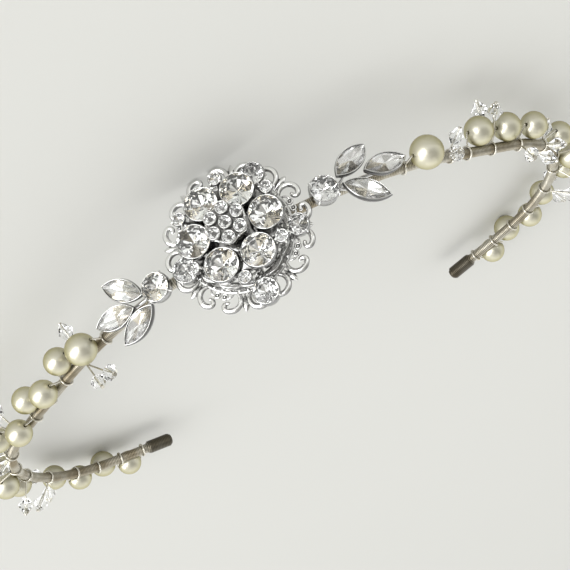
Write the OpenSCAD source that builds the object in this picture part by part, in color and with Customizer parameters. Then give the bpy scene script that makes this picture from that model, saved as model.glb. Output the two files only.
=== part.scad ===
// Pearl headband: a thin wound metal band with drilled pearls and small crystals wired along
// both sides, and a three-tier stone brooch between two leaf sprays of stones.
// It lies on its side. +Z is up, the brooch faces -Y and the arch opens towards +Y.

/* [Band] */
// Diameter of the band with its winding
band_d = 2.5; // [2.3:0.1:2.7]
// Radius of the arc over the crown of the head
crown_r = 80; // [78:1:84]
// Half angle of the crown arc
crown_angle = 40.5; // [40:0.5:42]
// Straight run between the crown and the shoulder
side_run = 22; // [20:1:24]
// Radius of the shoulder bend
shoulder_r = 34; // [33:1:36]
// Angle of the shoulder bend
shoulder_angle = 112; // [110:1:114]
// Straight run from the shoulder to the tip
tip_run = 18; // [17:1:20]
// Diameter of the wound tip
tip_d = 3.6; // [3.2:0.1:3.8]
// Length of the wound tip
tip_len = 7; // [6:0.5:8]

/* [Beads] */
// Diameter of the largest pearl; the others keep their share of it
large_pearl_d = 8.2; // [7.8:0.1:8.2]
// Diameter of a pearl's hole
pearl_hole_d = 0.9; // [0.8:0.05:1.1]
// Diameter and length of a double-cone crystal
crystal_d = 4; // [3.6:0.1:4]
// Diameter of the wire that holds the beads
wire_d = 0.5; // [0.4:0.05:0.6]

/* [Brooch] */
// Radius from the brooch's centre to the outside of its scrolls
brooch_r = 17.4; // [17:0.1:17.6]
// Thickness of the pierced base
base_t = 1; // [0.8:0.1:1.2]
// Diameter of the six main stones
main_stone_d = 7.6; // [7.2:0.1:7.6]
// Radius of the ring on which the main stones stand
main_ring_r = 8.65; // [8.6:0.05:8.8]
// Height of the main cups' rims above the underside
main_top = 8.5; // [8:0.1:9]
// Diameter of the seven stones of the raised flower
flower_stone_d = 2.7; // [2.5:0.1:2.8]
// Radius of the flower's ring of petals
flower_ring_r = 3.5; // [3.45:0.05:3.6]
// Height of the flower's rims above the underside
flower_top = 12.4; // [12:0.1:13]
// Diameter of the small stones between the main ones
gap_stone_d = 2.7; // [2.4:0.1:2.8]
// Lean of the brooch towards +X, as it is wired on
lean_side = 3.6; // [3:0.1:4]
// Lean of the brooch upwards, as it is wired on
lean_up = 1.8; // [1:0.1:2]

/* [Leaf sprays] */
// Diameter of the round stone of a spray
leaf_round_d = 6.6; // [6.2:0.1:6.8]
// Length of a pointed stone
navette_l = 10.8; // [10.5:0.1:11]
// Width of a pointed stone
navette_w = 5; // [4.6:0.1:5]

/* [Hidden] */
$fn = 48;

// Gaps between separate pieces, and the metal round a stone
seat_gap = 0.1;
stone_gap = 0.08;
cup_wall = 0.26;
cup_floor = 0.3;
rim_drop = 0.2;
girdle_share = 0.05;
crown_share = 0.16;
pavilion_share = 0.3;

// Pearls of each side: distance along the band from its middle, shift up from its centre line,
// and size as a share of the largest
POS = 0;
SHIFT = 1;
SIZE = 2;
right_pearls = [[43.6, 0.4, 0.94], [52.6, -2.7, 0.83], [61.2, 0.6, 0.85], [69.4, -2.8, 0.83],
    [76.6, 2, 0.83], [85.8, -2.2, 0.85]];
left_pearls = [[46.9, 0.7, 1], [67, -3.2, 0.9], [76.6, -3, 0.88], [85.8, -2.6, 0.85]];
far_pearls = [[99, -2, 0.85], [107.4, 1.2, 0.88], [115.8, -0.8, 0.85], [129, -2, 0.83],
    [136.2, -0.4, 0.83], [143.4, -2, 0.88], [150.4, 0.4, 0.83]];

// Crystals of each side: where the wire leaves the band, then the crystal's own place along
// the band, its shift and its height above the band's centre line
ALONG = 1;
ACROSS = 2;
LIFT = 3;
right_crystals = [[48.1, 46.8, -6.8, 3.3], [48.1, 45, 8.4, 3], [48.1, 40.4, 9.2, 4],
    [81.2, 78.4, -2.6, 8.6], [81.2, 80.6, -7, 4.6]];
left_crystals = [[57.4, 59.2, -2.9, 3.6], [57.4, 56, 1.8, 3.7], [71.8, 71.4, -9, 4],
    [71.8, 70.8, -5, 8.2], [81.2, 78.6, 6, 3.8], [81.2, 83.6, 7.4, 3.6]];
far_crystals = [[92.4, 92.4, -2.9, 3.6], [92.4, 92.4, 2.6, 3.6], [111.6, 112.4, 6.8, 4],
    [122.4, 119.4, 5.8, 3.6], [122.4, 124.2, 3, 3.8], [122.4, 122.6, -2.6, 3.7]];

// The pair of crystals behind the first left pearl has a turn of its own
left_extra_turn = 57.4;

// Stones on the brooch's rim: angle, distance from the centre and diameter
rim_stones = [[-134, 14.4, 5.2], [156.5, 14.2, 4.8], [88, 15.1, 5.8], [4.3, 13.7, 5.8]];

// Pointed stones of each spray: place along the band, shift, turn, and how much lower it sits
LOWER = 3;
right_navettes = [[28.15, -4.45, -45, 0], [28.5, 4.8, 19.4, 0], [32.7, -0.2, -10.7, 0]];
left_navettes = [[30, -4.2, -25.7, 0], [29.8, 4.05, 39, 0], [36.9, -0.6, 0, 0]];
right_round = 20.9;
left_round = 21.2;
leaf_lift = 4.1;
leaf_round_rise = 0.2;
leaf_stem_d = 0.8;
leaf_twig_d = 0.66;
navette_pavilion = 0.9;
navette_depth = rim_drop + navette_pavilion + seat_gap + cup_floor;

// The base is eight lobes of two scrolls and two small rings, with a dart between each two lobes
lobes = 8;
scroll_d = 1.1;
scroll_r = 2.3;
scroll_x = brooch_r - scroll_r - scroll_d / 2;
scroll_y = 2.5;
scroll_end = -35;
bulb_r = 0.85;
eye_x = 13.95;
eye_y = 0.88;
eye_r = 0.86;
ring_inner = 10.4;
ring_outer = 13.2;
hub_r = 7.6;
spoke_w = 1.2;
dart_root = 14.6;
dart_tip = 17.1;
dart_w = 1.2;

// The gallery stands on the base and carries the six main cups on a round plate
gallery_posts = 12;
gallery_foot_r = 10.9;
gallery_head_r = 9.8;
gallery_z = 5;
gallery_t = 0.8;
gallery_wire_d = 0.9;
gap_ring_r = 12;
gap_top = 8.3;
rim_top = 2.9;
main_turn = 50;
gap_turn = 18;
flower_turn = 15;
flower_plate_t = 0.6;
post_r = 1.3;

// The straight runs are this much thicker at the side than the bends, and lap over their ends
run_step = 0.03;
run_lap = 0.4;

wire_gap = 0.09;
wire_ring_r = band_d / 2 + wire_gap + wire_d / 2;
leg_d = wire_d - 0.08;
pin_head_d = wire_d + 0.4;
pin_head_t = 0.4;
wire_stub = 0.35;
long_gap = 14;

// Turn of the band's direction at a distance along it, from the middle of the crown
crown_len = crown_r * crown_angle * PI / 180;
shoulder_len = shoulder_r * shoulder_angle * PI / 180;
shoulder_start = crown_len + side_run;
half_len = shoulder_start + shoulder_len + tip_run;
function turn_at(u) = u < crown_len ? u / crown_r * 180 / PI
    : u < shoulder_start ? crown_angle
    : min(crown_angle + (u - shoulder_start) / shoulder_r * 180 / PI, crown_angle + shoulder_angle);

// Place of the band's centre line, out to the side and back from the crown
side_dir = [cos(crown_angle), sin(crown_angle)];
crown_end = crown_r * [sin(crown_angle), 1 - cos(crown_angle)];
shoulder_mid = crown_end + side_run * side_dir + shoulder_r * [-side_dir.y, side_dir.x];
end_turn = crown_angle + shoulder_angle;
function on_bend(c, r, turn) = c + r * [sin(turn), -cos(turn)];
function place_at(u) = u < crown_len ? on_bend([0, crown_r], crown_r, turn_at(u))
    : u < shoulder_start ? crown_end + (u - crown_len) * side_dir
    : u < half_len - tip_run ? on_bend(shoulder_mid, shoulder_r, turn_at(u))
    : on_bend(shoulder_mid, shoulder_r, end_turn)
        + (u - half_len + tip_run) * [cos(end_turn), sin(end_turn)];

// A point beside the band at s, which is negative on the left: y is up and z is outwards
function beside(s, y, z) = let(p = place_at(abs(s)), t = turn_at(abs(s)))
    [sign(s) * (p.x + z * sin(t)), p.y - z * cos(t), y];
function along(s) = let(t = sign(s) * turn_at(abs(s))) [cos(t), sin(t), 0];

// Pearls and crystals of one side, +1 for the right and -1 for the left
function pearls_of(side) = concat(side > 0 ? right_pearls : left_pearls, far_pearls);
function crystals_of(side) = concat(side > 0 ? right_crystals : left_crystals, far_crystals);
function size_of(pearl) = large_pearl_d * pearl[SIZE];
function reach_of(pearl) = band_d / 2 + seat_gap + size_of(pearl) / 2;
function lift_of(pearl) = sqrt(pow(reach_of(pearl), 2) - pow(pearl[SHIFT], 2));
function pearl_centre(pearl, side) = beside(side * pearl[POS], pearl[SHIFT], lift_of(pearl));
function wrap_point(s, y, z) = beside(s, wire_ring_r * y / norm([y, z]), wire_ring_r * z / norm([y, z]));

// Lying pose: the brooch's lower scrolls and the third pearl from each tip touch the ground
seat = band_d / 2 + seat_gap + 0.16;
rest_index = len(far_pearls) - 2;
rest_pearl = pearl_centre(far_pearls[rest_index], 1);
rest_r = size_of(far_pearls[rest_index]) / 2;
scroll_low = [seat + brooch_r * sin(lean_up) - scroll_y * sin(lean_side), -brooch_r * cos(lean_up)];
rest_run = [rest_pearl.y + scroll_low[0], rest_pearl.z - scroll_low[1]];
lie_angle = atan2(rest_run[1], rest_run[0]) - asin(rest_r / norm(rest_run));
lie_lift = -(scroll_low[0] * sin(lie_angle) + scroll_low[1] * cos(lie_angle));
end_row = far_pearls[len(far_pearls) - 1];
end_pearl = pearl_centre(end_row, 1);
petal_r = flower_ring_r + flower_stone_d / 2;
flower_table = flower_top - rim_drop + (girdle_share + crown_share) * flower_stone_d;
front_reach = (seat + flower_table) * cos(lie_angle) + petal_r * sin(lie_angle);
back_reach = end_pearl.y * cos(lie_angle) + end_pearl.z * sin(lie_angle) + size_of(end_row) / 2;

PEARL_SIDES = [["right", 1], ["left", -1]];

// Puts its children in the lying pose, with the box's middle over the origin
module lying() {
    translate([0, (front_reach - back_reach) / 2, lie_lift])
        rotate([-lie_angle, 0, 0])
            children();
}

// Local frame on the band: +X along it, +Y up and +Z outwards
module on_band(s) {
    p = place_at(abs(s));
    translate([sign(s) * p.x, p.y, 0])
        rotate([0, 0, sign(s) * turn_at(abs(s))])
            rotate([90, 0, 0])
                children();
}

// Frame on the brooch's underside, with its lean
module on_brooch() {
    rotate([90, 0, 0])
        translate([0, 0, seat])
            rotate([-lean_up, lean_side, 0])
                children();
}

// Frame of one pearl: the hole lies along +X
module on_pearl(pearl, side) {
    on_band(side * pearl[POS])
        translate([0, pearl[SHIFT], lift_of(pearl)])
            children();
}

module rod(from, to, d) {
    run = to - from;
    translate(from)
        rotate([0, acos(run.z / norm(run)), atan2(run.y, run.x)])
            cylinder(h = norm(run), d = d, $fn = 24);
}

module band_bend(mid, r, from, sweep) {
    translate([mid.x, mid.y, 0])
        rotate([0, 0, from - 90])
            rotate_extrude(angle = sweep, $fn = 180)
                translate([r, 0])
                    circle(d = band_d, $fn = 24);
}

// Wound metal band of one side, from the crown's end to its thicker tip
module band_side() {
    run_d = band_d + 2 * run_step;
    on_band(crown_len + 0.01)
        rotate([0, 90, 0])
            translate([0, 0, -run_lap])
                cylinder(h = side_run + 2 * run_lap, d = run_d);
    band_bend(shoulder_mid, shoulder_r, crown_angle, shoulder_angle);
    on_band(half_len - tip_run + 0.01)
        rotate([0, 90, 0])
            translate([0, 0, -run_lap])
                cylinder(h = tip_run - tip_len / 2, d = run_d);
    on_band(half_len - tip_len)
        rotate([0, 90, 0]) {
            cylinder(h = 0.8, d1 = band_d + 0.2, d2 = tip_d);
            translate([0, 0, 0.8])
                cylinder(h = tip_len - 1.6, d = tip_d);
            translate([0, 0, tip_len - 0.8])
                cylinder(h = 0.8, d1 = tip_d, d2 = band_d);
        }
}

module band() {
    color("silver")
        lying() {
            band_bend([0, crown_r], crown_r, -crown_angle, 2 * crown_angle);
            band_side();
            mirror([1, 0, 0])
                band_side();
        }
}

module pearl(side, i) {
    row = pearls_of(side)[i];
    color("ivory")
        lying()
            on_pearl(row, side)
                rotate([0, 90, 0])
                    difference() {
                        sphere(d = size_of(row));
                        cylinder(h = size_of(row) + 1, d = pearl_hole_d, center = true, $fn = 24);
                    }
}

// Where the wire comes out of a pearl, on its outer (+1) or inner (-1) end
function hole_mouth(row, side, end) = pearl_centre(row, side)
    + end * side * (size_of(row) / 2 + wire_stub) * along(side * row[POS]);

module wire_ring(s) {
    on_band(s)
        rotate([0, 90, 0])
            rotate_extrude($fn = 32)
                translate([wire_ring_r, 0])
                    circle(d = wire_d, $fn = 16);
}

// Where the wire winds round the band: half way to the next pearl, or close by a single one
function edge_of(row) = size_of(row) / 2;
function gap_after(rows, i) = i < len(rows) - 1 ? rows[i + 1][POS] - rows[i][POS] : 2 * long_gap;
function gap_before(rows, i) = i > 0 ? rows[i][POS] - rows[i - 1][POS] : 2 * long_gap;
function turn_after(rows, i) = rows[i][POS]
    + (gap_after(rows, i) < long_gap ? gap_after(rows, i) / 2 : edge_of(rows[i]));
function turn_before(rows, i) = rows[i][POS]
    - (gap_before(rows, i) < long_gap ? gap_before(rows, i) / 2 : edge_of(rows[i]));

// Wire from a pearl's hole down to its turn round the band
module leg(row, side, s, end) {
    rod(wrap_point(side * s, row[SHIFT], lift_of(row)), hole_mouth(row, side, end), leg_d);
}

// Wire laid along the inside of the band between two turns
module under_run(from, to, side) {
    rod(beside(side * from, 0, -wire_ring_r), beside(side * to, 0, -wire_ring_r), leg_d);
}

module pearl_wire(side) {
    rows = pearls_of(side);
    for (i = [0:len(rows) - 1]) {
        rod(hole_mouth(rows[i], side, -1), hole_mouth(rows[i], side, 1), wire_d);
        leg(rows[i], side, turn_before(rows, i), -1);
        leg(rows[i], side, turn_after(rows, i), 1);
        wire_ring(side * turn_after(rows, i));
        if (gap_before(rows, i) > long_gap)
            wire_ring(side * turn_before(rows, i));
    }
}

function crystal_root(row, side) = wrap_point(side * row[POS], row[ACROSS], row[LIFT]);
function crystal_mid(row, side) = beside(side * row[ALONG], row[ACROSS], row[LIFT]);

module crystal_wire(side) {
    for (row = crystals_of(side)) {
        root = crystal_root(row, side);
        mid = crystal_mid(row, side);
        reach = (mid - root) / norm(mid - root);
        end = mid + reach * (crystal_d / 2 + seat_gap);
        rod(root, end + reach * pin_head_t / 2, leg_d);
        rod(end, end + reach * pin_head_t, pin_head_d);
    }
}

module bead_wire(side) {
    color("silver")
        lying() {
            pearl_wire(side);
            crystal_wire(side);
            if (side < 0) {
                wire_ring(-left_extra_turn);
                under_run(turn_after(left_pearls, 0), left_extra_turn, side);
                under_run(left_extra_turn, turn_before(left_pearls, 1), side);
            }
        }
}

// Double cone of eight facets each way, drilled from end to end
module crystal() {
    waist = 0.1;
    tip = 0.36;
    cone = (crystal_d - waist) / 2;
    difference() {
        union() {
            cylinder(h = cone + waist, d1 = crystal_d, d2 = tip * crystal_d, $fn = 8);
            mirror([0, 0, 1])
                cylinder(h = cone + waist, d1 = crystal_d, d2 = tip * crystal_d, $fn = 8);
        }
        cylinder(h = 2 * crystal_d, d = wire_d + 0.25, center = true, $fn = 8);
    }
}

module crystals(side) {
    color("aliceblue")
        lying()
            for (row = crystals_of(side)) {
                run = crystal_mid(row, side) - crystal_root(row, side);
                translate(crystal_mid(row, side))
                    rotate([0, acos(run.z / norm(run)), atan2(run.y, run.x)])
                        crystal();
            }
}

// Round cut stone: its widest edge starts at z = 0, with the flat table above
module round_stone(d) {
    girdle = girdle_share * d;
    crown = crown_share * d;
    pavilion = pavilion_share * d;
    skin = 0.01;
    hull() {
        translate([0, 0, girdle + crown])
            rotate([0, 0, 22.5])
                cylinder(h = skin, d = 0.56 * d, $fn = 8);
        cylinder(h = girdle, d = d, $fn = 16);
        translate([0, 0, -pavilion])
            cylinder(h = skin, d = 0.1 * d, $fn = 8);
    }
}

// Height of a cup that holds a round stone
function cup_h(d) = rim_drop + pavilion_share * d + seat_gap + cup_floor;

// Room that a round stone takes in its cup, below the rim at z = 0 and above it
module round_room(d) {
    translate([0, 0, cup_floor - cup_h(d)])
        cylinder(h = cup_h(d) + 0.5, d = d + 2 * stone_gap);
}

// Open cup for a round stone, with its rim at z = 0
module round_cup(d) {
    difference() {
        translate([0, 0, -cup_h(d)])
            cylinder(h = cup_h(d), d = d + 2 * (stone_gap + cup_wall));
        round_room(d);
    }
}

// Pointed outline with two equal arcs
module navette_shape(l, w) {
    arc_r = (pow(l, 2) + pow(w, 2)) / (4 * w);
    intersection() {
        translate([0, arc_r - w / 2])
            circle(r = arc_r, $fn = 96);
        translate([0, w / 2 - arc_r])
            circle(r = arc_r, $fn = 96);
    }
}

// Points of the same outline for a faceted stone
function navette_points(l, w, steps) = let(arc_r = (pow(l, 2) + pow(w, 2)) / (4 * w),
        half = asin(l / 2 / arc_r))
    [for (side = [1, -1], i = [0:steps - 1]) let(a = side * (half - 2 * half * i / steps))
        [arc_r * sin(a), side * (arc_r * cos(a) - arc_r + w / 2)]];

module navette_layer(l, w, z, h) {
    translate([0, 0, z])
        linear_extrude(h)
            polygon(navette_points(l, w, 6));
}

module navette_stone() {
    girdle = 0.25;
    crown = 0.8;
    skin = 0.01;
    hull() {
        navette_layer(0.62 * navette_l, 0.46 * navette_w, girdle + crown, skin);
        navette_layer(navette_l, navette_w, 0, girdle);
        navette_layer(0.5 * navette_l, 0.12 * navette_w, -navette_pavilion, skin);
    }
}

// Open pointed cup, with its rim at z = 0
module navette_cup() {
    outer = 2 * (stone_gap + cup_wall);
    translate([0, 0, -navette_depth])
        difference() {
            linear_extrude(navette_depth)
                navette_shape(navette_l + 1.6 * outer, navette_w + outer);
            translate([0, 0, cup_floor])
                linear_extrude(navette_depth)
                    navette_shape(navette_l + 3.2 * stone_gap, navette_w + 2 * stone_gap);
        }
}

// Lift of a pointed cup's rim above the band's centre line
function rim_lift(row) = leaf_lift - row[LOWER];

function navettes_of(side) = side > 0 ? right_navettes : left_navettes;
function round_of(side) = side > 0 ? right_round : left_round;

// Frame at the rim of one pointed cup, with +X towards the leaf's tip
module on_navette(row, side) {
    on_band(side * row[0])
        translate([0, row[1], rim_lift(row)])
            rotate([0, 0, side > 0 ? row[2] : 180 - row[2]])
                children();
}

module on_leaf_round(side) {
    on_band(side * round_of(side))
        translate([0, 0, leaf_lift + leaf_round_rise])
            children();
}

// Soldered spray: one round cup and three pointed cups on a stem that follows the band
module leaf_setting(side) {
    stem_lift = band_d / 2 + seat_gap + leaf_stem_d / 2;
    stem_r = crown_r + stem_lift;
    stem_from = (round_of(side) - 3) / crown_r * 180 / PI;
    stem_to = (navettes_of(side)[2][0] + 3.4) / crown_r * 180 / PI;
    color("silver")
        lying()
            difference() {
                union() {
                    translate([0, crown_r, 0])
                        rotate([0, 0, side > 0 ? stem_from - 90 : -stem_to - 90])
                            rotate_extrude(angle = stem_to - stem_from, $fn = 180)
                                translate([stem_r, 0])
                                    circle(d = leaf_stem_d, $fn = 24);
                    on_leaf_round(side)
                        round_cup(leaf_round_d);
                    for (row = navettes_of(side)) {
                        on_navette(row, side)
                            navette_cup();
                        root = row[0] - (abs(row[1]) < 1 ? 0.5 : 5.5);
                        rod(beside(side * root, 0, stem_lift),
                            beside(side * (row[0] + 0.5), row[1], rim_lift(row) - navette_depth - 0.15),
                            leaf_twig_d);
                    }
                }
                on_leaf_round(side)
                    round_room(leaf_round_d);
            }
}

module leaf_round(side) {
    color("white")
        lying()
            on_leaf_round(side)
                translate([0, 0, -rim_drop])
                    round_stone(leaf_round_d);
}

module navette(side, i) {
    color("white")
        lying()
            on_navette(navettes_of(side)[i], side)
                translate([0, 0, -rim_drop])
                    navette_stone();
}

// Half of a lobe: a scroll that curls outwards and ends in a bulb
module scroll_shape() {
    opening = 180 - 45 + scroll_end;
    far = 2 * scroll_r;
    translate([scroll_x, scroll_y])
        difference() {
            circle(d = 2 * scroll_r + scroll_d);
            circle(d = 2 * scroll_r - scroll_d);
            polygon([[0, 0], far * [cos(scroll_end), sin(scroll_end)],
                far * [cos(scroll_end - opening / 2), sin(scroll_end - opening / 2)],
                far * [cos(scroll_end - opening), sin(scroll_end - opening)],
                far * [cos(140), sin(140)]]);
        }
    translate([scroll_x + scroll_r * cos(scroll_end), scroll_y + scroll_r * sin(scroll_end)])
        circle(r = bulb_r, $fn = 24);
}

module dart_shape() {
    polygon([[ring_outer - 0.5, -0.4], [dart_root, -dart_w / 2], [dart_tip, 0],
        [dart_root, dart_w / 2], [ring_outer - 0.5, 0.4]]);
}

// Pierced base, seen from the front
module base_shape() {
    difference() {
        circle(r = ring_outer, $fn = 96);
        circle(r = ring_inner, $fn = 96);
    }
    circle(r = hub_r);
    for (i = [0:lobes - 1])
        rotate(i * 360 / lobes) {
            translate([(hub_r + ring_inner) / 2, 0])
                square([ring_inner - hub_r + 1, spoke_w], center = true);
            scroll_shape();
            mirror([0, 1])
                scroll_shape();
            for (hand = [-1, 1])
                translate([eye_x, hand * eye_y])
                    difference() {
                        circle(r = eye_r, $fn = 24);
                        circle(r = 0.35, $fn = 24);
                    }
            rotate(180 / lobes)
                dart_shape();
        }
}

module ring_of(n, r, turn, z) {
    for (i = [0:n - 1])
        rotate([0, 0, turn + i * 360 / n])
            translate([r, 0, z])
                children();
}

// Posts and a middle ring that lift the main cups off the base
module gallery() {
    for (i = [0:gallery_posts - 1]) {
        a = (i + 0.5) * 360 / gallery_posts + main_turn;
        rod([gallery_foot_r * cos(a), gallery_foot_r * sin(a), base_t / 2],
            [gallery_head_r * cos(a), gallery_head_r * sin(a), gallery_z + gallery_t / 2],
            gallery_wire_d);
    }
    translate([0, 0, (base_t + gallery_z) / 2])
        rotate_extrude($fn = 96)
            translate([(gallery_foot_r + gallery_head_r) / 2, 0])
                circle(d = 0.7, $fn = 16);
    translate([0, 0, gallery_z])
        linear_extrude(gallery_t)
            difference() {
                circle(r = gallery_head_r + 0.6, $fn = 96);
                for (i = [0:5])
                    rotate(gap_turn + i * 60)
                        translate([4.6, 0])
                            circle(d = 2.2, $fn = 24);
            }
}

// Small cups between the main ones, each on a bent arm from the gallery
module gap_cups() {
    ring_of(6, gap_ring_r, gap_turn, gap_top)
        round_cup(gap_stone_d);
    for (i = [0:5]) {
        a = gap_turn + i * 60;
        rod([gallery_head_r * cos(a), gallery_head_r * sin(a), gallery_z + gallery_t / 2],
            [gap_ring_r * cos(a), gap_ring_r * sin(a), gap_top - cup_h(gap_stone_d) - 0.25],
            gallery_wire_d);
    }
}

module flower_cups() {
    floor_z = flower_top - cup_h(flower_stone_d);
    translate([0, 0, gallery_z])
        cylinder(h = floor_z - gallery_z, r = post_r);
    translate([0, 0, floor_z - flower_plate_t + 0.2])
        cylinder(h = flower_plate_t, r = flower_ring_r);
    translate([0, 0, flower_top])
        round_cup(flower_stone_d);
    ring_of(6, flower_ring_r, flower_turn, flower_top)
        round_cup(flower_stone_d);
}

// The four places on the rim; $stone is the row of rim_stones
module on_rim() {
    for ($stone = [0:len(rim_stones) - 1])
        rotate([0, 0, rim_stones[$stone][0]])
            translate([rim_stones[$stone][1], 0, rim_top])
                children();
}

module brooch_setting() {
    color("silver")
        lying()
            on_brooch()
                difference() {
                    union() {
                        linear_extrude(base_t)
                            base_shape();
                        gallery();
                        ring_of(6, main_ring_r, main_turn, main_top)
                            round_cup(main_stone_d);
                        gap_cups();
                        flower_cups();
                        on_rim()
                            round_cup(rim_stones[$stone][2]);
                    }
                    on_rim()
                        round_room(rim_stones[$stone][2]);
                }
}

module main_stone(i) {
    color("white")
        lying()
            on_brooch()
                rotate([0, 0, main_turn + i * 60])
                    translate([main_ring_r, 0, main_top - rim_drop])
                        round_stone(main_stone_d);
}

module rim_stone(i) {
    row = rim_stones[i];
    color("white")
        lying()
            on_brooch()
                rotate([0, 0, row[0]])
                    translate([row[1], 0, rim_top - rim_drop])
                        round_stone(row[2]);
}

module gap_stones() {
    color("white")
        lying()
            on_brooch()
                ring_of(6, gap_ring_r, gap_turn, gap_top - rim_drop)
                    round_stone(gap_stone_d);
}

module flower_stones() {
    color("white")
        lying()
            on_brooch() {
                translate([0, 0, flower_top - rim_drop])
                    round_stone(flower_stone_d);
                ring_of(6, flower_ring_r, flower_turn, flower_top - rim_drop)
                    round_stone(flower_stone_d);
            }
}

band();
brooch_setting();
gap_stones();
flower_stones();
for (i = [0:5])
    main_stone(i);
for (i = [0:len(rim_stones) - 1])
    rim_stone(i);
for (side = PEARL_SIDES) {
    leaf_setting(side[1]);
    leaf_round(side[1]);
    bead_wire(side[1]);
    crystals(side[1]);
    for (i = [0:2])
        navette(side[1], i);
    for (i = [0:len(pearls_of(side[1])) - 1])
        pearl(side[1], i);
}
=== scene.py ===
import bpy
import numpy as np
from mathutils import Matrix


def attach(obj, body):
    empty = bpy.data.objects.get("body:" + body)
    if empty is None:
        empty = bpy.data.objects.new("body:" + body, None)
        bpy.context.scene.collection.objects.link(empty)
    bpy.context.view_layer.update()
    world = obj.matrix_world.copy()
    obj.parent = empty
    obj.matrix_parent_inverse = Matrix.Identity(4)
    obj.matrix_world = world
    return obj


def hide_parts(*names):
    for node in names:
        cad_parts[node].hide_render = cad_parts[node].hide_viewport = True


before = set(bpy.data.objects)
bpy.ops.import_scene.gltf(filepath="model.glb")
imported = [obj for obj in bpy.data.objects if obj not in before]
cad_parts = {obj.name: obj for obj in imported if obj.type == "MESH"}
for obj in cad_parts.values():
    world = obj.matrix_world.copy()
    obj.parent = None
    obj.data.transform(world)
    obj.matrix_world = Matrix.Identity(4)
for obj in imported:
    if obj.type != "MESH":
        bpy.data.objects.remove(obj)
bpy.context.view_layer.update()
MM = 0.001

# Sizes in millimetres and angles in degrees, the same as in the part's source.
# Band: arcs at the crown and shoulders, straight side and tip runs, and thicker tips
band_d = 2.5
crown_r, crown_angle = 80.0, 40.5
side_run, shoulder_r, shoulder_angle, tip_run = 22.0, 34.0, 112.0, 18.0
tip_d, tip_len = 3.6, 7.0
# Base of the brooch with its scrolls, and the gallery above it
base_t, hub_r = 1.0, 7.6
ring_inner, ring_outer = 10.4, 13.2
lobes, scroll_r, scroll_x, scroll_y = 8, 2.3, 14.55, 2.5
posts, gallery_foot_r, gallery_head_r, gallery_z, gallery_t = 12, 10.9, 9.8, 5.0, 0.8
# Stones of the brooch: width, distance from the middle, height of the cup's rim and first turn
petals, claws = 6, 4
fold = 360 / petals
main_d, main_ring_r, main_top, main_turn = 7.6, 8.65, 8.5, 50.0
gap_d, gap_ring_r, gap_top, gap_turn = 2.7, 12.0, 8.3, 18.0
flower_d, flower_ring_r, flower_top, flower_turn = 2.7, 3.5, 12.4, 15.0
# Stones on the base's rim: turn, distance from the middle and width
rim_top = 2.9
rim_stones = [[-134, 14.4, 5.2], [156.5, 14.2, 4.8], [88, 15.1, 5.8], [4.3, 13.7, 5.8]]
# Every cup: the stone's drop below its rim, its floor and wall, and the room round the stone
rim_drop, cup_floor, cup_wall, stone_gap = 0.2, 0.3, 0.26, 0.08
# Leaf sprays, with each pointed stone's place along the band, height above its middle and turn
leaf_lift, leaf_round_d, navette_l, navette_w, navette_depth = 4.1, 6.6, 10.8, 5.0, 1.5
leaf_round_at = {"right": 20.9, "left": 21.2}
navettes = {"right": [[28.15, -4.45, -45], [28.5, 4.8, 19.4], [32.7, -0.2, -10.7]],
            "left": [[30, -4.2, -25.7], [29.8, 4.05, 39], [36.9, -0.6, 0]]}
# How the brooch sits on the band, and how the headband lies on the floor
seat, lean_up, lean_side = 1.51, 1.8, 3.6
lie_angle, lie_lift, lie_shift = 7.0903, 17.0239, -42.0538
SIDES = {"right": 1, "left": -1}
UP = np.array([0.0, 0.0, 1.0])


# ---------------------------------------------------------------- camera
camera = bpy.data.objects.new("camera", bpy.data.cameras.new("camera"))
camera.data.sensor_width, camera.data.lens = 36, 95.56
camera.data.clip_start, camera.data.clip_end = 0.01, 20
stand = (-0.0028269, -0.3352973, 0.1896592)
across = (-0.86345441, 0.23634133, 0.44563354)
upward = (-0.50442156, -0.4086109, -0.76065499)
behind = (0.00231651, -0.88157808, 0.47203255)
camera.matrix_world = Matrix.Translation(stand) @ Matrix(
    (across, upward, behind)).transposed().to_4x4()
bpy.context.collection.objects.link(camera)
bpy.context.scene.camera = camera


# ---------------------------------------------------------------- places
def turned(points, x=0.0, y=0.0, z=0.0):
    """Points turned by degrees about X, then Y, then Z."""
    a, b, c = np.radians([x, y, z])
    rx = np.array([[1, 0, 0], [0, np.cos(a), -np.sin(a)], [0, np.sin(a), np.cos(a)]])
    ry = np.array([[np.cos(b), 0, np.sin(b)], [0, 1, 0], [-np.sin(b), 0, np.cos(b)]])
    rz = np.array([[np.cos(c), -np.sin(c), 0], [np.sin(c), np.cos(c), 0], [0, 0, 1]])
    return np.asarray(points, float) @ (rz @ ry @ rx).T


def lying(points):
    """From the upright band's frame into the lying pose, in millimetres."""
    return turned(points, x=-lie_angle) + [0, lie_shift, lie_lift]


def on_brooch(points):
    """From the brooch's own frame, with +Z out of its face, into the lying pose."""
    leaning = turned(points, x=-lean_up, y=lean_side) + [0, 0, seat]
    return lying(turned(leaning, x=90))


crown_len = crown_r * np.radians(crown_angle)
shoulder_len = shoulder_r * np.radians(shoulder_angle)
half_len = crown_len + side_run + shoulder_len + tip_run


def band_turn(s):
    """Direction of the band at a distance s from its middle: two arcs and two straight runs."""
    u = np.abs(s)
    bend = crown_angle + np.degrees((u - crown_len - side_run) / shoulder_r)
    return np.radians(np.where(u < crown_len, np.degrees(u / crown_r),
                               np.clip(bend, crown_angle, crown_angle + shoulder_angle)))


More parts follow.
